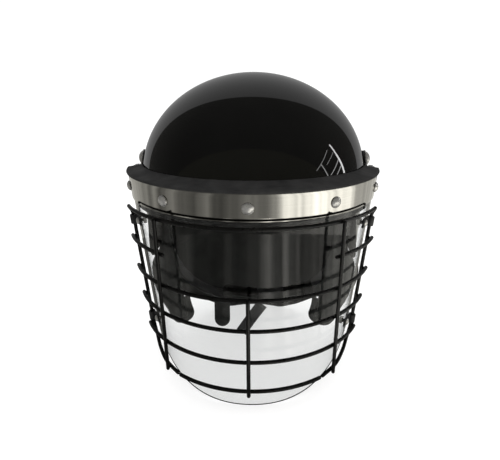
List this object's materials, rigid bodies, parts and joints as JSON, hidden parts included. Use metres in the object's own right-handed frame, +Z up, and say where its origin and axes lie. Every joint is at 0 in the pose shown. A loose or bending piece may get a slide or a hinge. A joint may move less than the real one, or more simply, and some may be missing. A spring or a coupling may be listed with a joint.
{
  "type": "public-order helmet with wire face guard",
  "caption": "Black domed helmet with a hinged clear visor, a steel brow band, a welded wire face guard, neck and ear padding, and a buckled chin strap.",
  "frame": {"origin": "middle of the helmet's footprint, on the surface that it stands on", "axes": "+Z up through the crown, -Y towards the wearer's front, +X to the right as the helmet's front is looked at"},
  "size_m": [0.2574, 0.2856, 0.3038],
  "materials": {
    "shell": "polished black moulded plastic",
    "rubber": "matt black",
    "foam": "rigid impact foam with a dark cover",
    "mesh": "black spacer mesh",
    "leather": "dark grey grained artificial leather",
    "webbing": "woven black webbing",
    "buckle": "fine textured black",
    "clear": "clear polished sheet",
    "steel": "polished stainless steel",
    "wire": "black powder coat on steel wire",
    "nylon": "black nylon"
  },
  "bodies": {
    "helmet": {"shell": "shell", "shell_rim_trim": "rubber", "impact_liner": "foam", "headband_pad": "mesh", "crown_pad": "mesh", "neck_guard": "leather", "ear_flap_right": "leather", "ear_flap_left": "leather", "neck_snap_1": "steel", "neck_snap_2": "steel", "neck_snap_3": "steel", "neck_snap_4": "steel", "pivot_washer_right": "nylon", "pivot_washer_left": "nylon", "pivot_screw_right": "steel", "pivot_screw_left": "steel", "pivot_nut_right": "steel", "pivot_nut_left": "steel", "strap_rivet_right": "steel", "strap_rivet_left": "steel"},
    "visor": {"visor": "clear", "visor_band": "steel", "brow_seal": "rubber", "band_rivet_1": "steel", "band_rivet_2": "steel", "band_rivet_3": "steel", "band_rivet_4": "steel", "band_rivet_5": "steel", "hinge_arm_right": "steel", "hinge_arm_left": "steel", "arm_rivet_right": "steel", "arm_rivet_left": "steel", "guard_top_wire": "wire", "guard_upper_wire": "wire", "guard_middle_wire": "wire", "guard_lower_wire": "wire", "guard_bottom_wire": "wire", "guard_brow_wire_right": "wire", "guard_brow_wire_left": "wire", "guard_side_wire_right": "wire", "guard_side_wire_left": "wire", "guard_side_bar_right": "wire", "guard_side_bar_left": "wire", "guard_centre_bar": "wire", "guard_clip_upper_right": "nylon", "guard_clip_upper_left": "nylon", "guard_bolt_upper_right": "steel", "guard_bolt_upper_left": "steel", "guard_clip_lower_right": "nylon", "guard_clip_lower_left": "nylon", "guard_bolt_lower_right": "steel", "guard_bolt_lower_left": "steel"},
    "chin_strap": {"buckle_socket": "buckle", "buckle_plug": "buckle", "strap_web_right": "webbing", "strap_web_left": "webbing", "chin_pad": "leather", "strap_pull_tab": "leather", "strap_loose_end": "webbing"}
  },
  "joints": [
    {"name": "visor_hinge", "type": "hinge", "parent": "helmet", "child": "visor", "pos_m": [0, 0.0036, 0.214], "axis": [-1, 0, 0], "range_deg": [0, 95]},
    {"name": "chin_strap_swing", "type": "hinge", "parent": "helmet", "child": "chin_strap", "pos_m": [0, -0.0034, 0.142], "axis": [-1, 0, 0], "range_deg": [-25, 12]}
  ]
}
